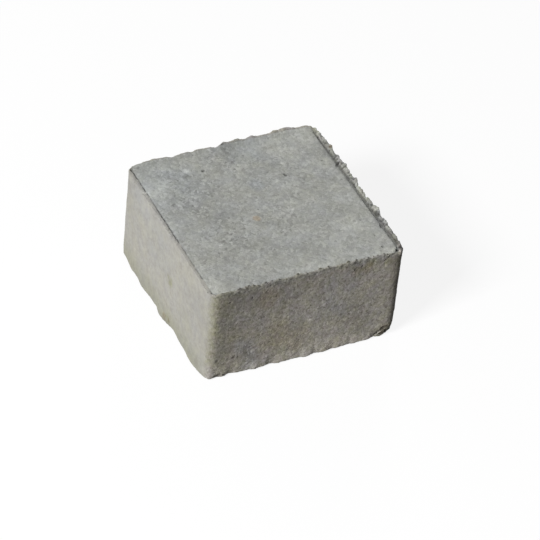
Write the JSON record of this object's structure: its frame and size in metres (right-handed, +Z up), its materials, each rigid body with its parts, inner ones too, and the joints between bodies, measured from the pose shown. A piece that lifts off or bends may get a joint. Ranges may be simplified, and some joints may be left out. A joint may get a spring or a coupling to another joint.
{
  "type": "concrete paving stone",
  "caption": "Square pressed concrete paving stone with a flat wearing face inside a torn rim of flash, rounded upright corners and chipped edges; rests on its flat bed.",
  "frame": {"origin": "centre of the flat bed, at the height of the floor it lies on", "axes": "+Z up out of the wearing face, -Y out of the front side, +X out of the right side"},
  "size_m": [0.1021, 0.102, 0.0548],
  "materials": {
    "concrete": "matt grey pressed concrete, sandy and finely pitted, smoother and slightly beige where cement slurry ran down the mould's wall"
  },
  "bodies": {
    "root": {"paving_stone": "concrete"}
  },
  "joints": []
}
